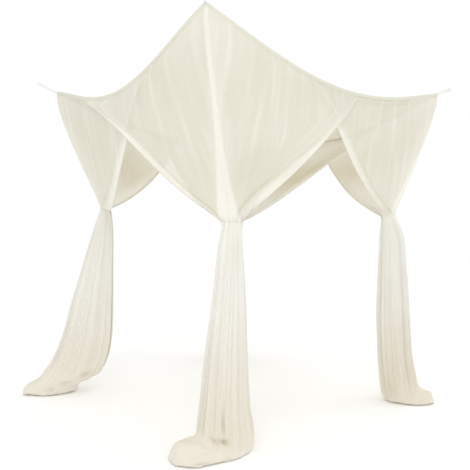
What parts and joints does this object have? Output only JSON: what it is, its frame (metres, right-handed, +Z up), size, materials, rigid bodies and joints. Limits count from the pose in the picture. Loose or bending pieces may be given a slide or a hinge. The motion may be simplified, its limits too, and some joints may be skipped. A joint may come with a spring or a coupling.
{
  "type": "four-corner mosquito net canopy",
  "caption": "Cream net bed canopy hung by corner tapes, with a sagging roof and corner curtains gathered into posts that pool on the floor.",
  "frame": {"origin": "the hook's place in the eye at the end of the front corner tape, 2.324 m above the floor", "axes": "+Z up, +X along the long top edge from the front corner to the right corner, +Y along the short top edge from the front corner to the left corner"},
  "size_m": [2.4497, 2.1854, 2.3433],
  "materials": {
    "roof net": "fine matt net, slightly see-through",
    "curtain net": "fine matt net, gathered, slightly see-through",
    "rim binding": "matt woven binding tape",
    "corner tape": "matt woven hanging tape"
  },
  "bodies": {
    "root": {"roof_net": "roof net", "rim_binding_front_to_left": "rim binding", "corner_tape_front": "corner tape", "curtain_front": "curtain net", "rim_binding_left_to_back": "rim binding", "corner_tape_left": "corner tape", "curtain_left": "curtain net", "rim_binding_back_to_right": "rim binding", "corner_tape_back": "corner tape", "curtain_back": "curtain net", "rim_binding_right_to_front": "rim binding", "corner_tape_right": "corner tape", "curtain_right": "curtain net"}
  },
  "joints": []
}
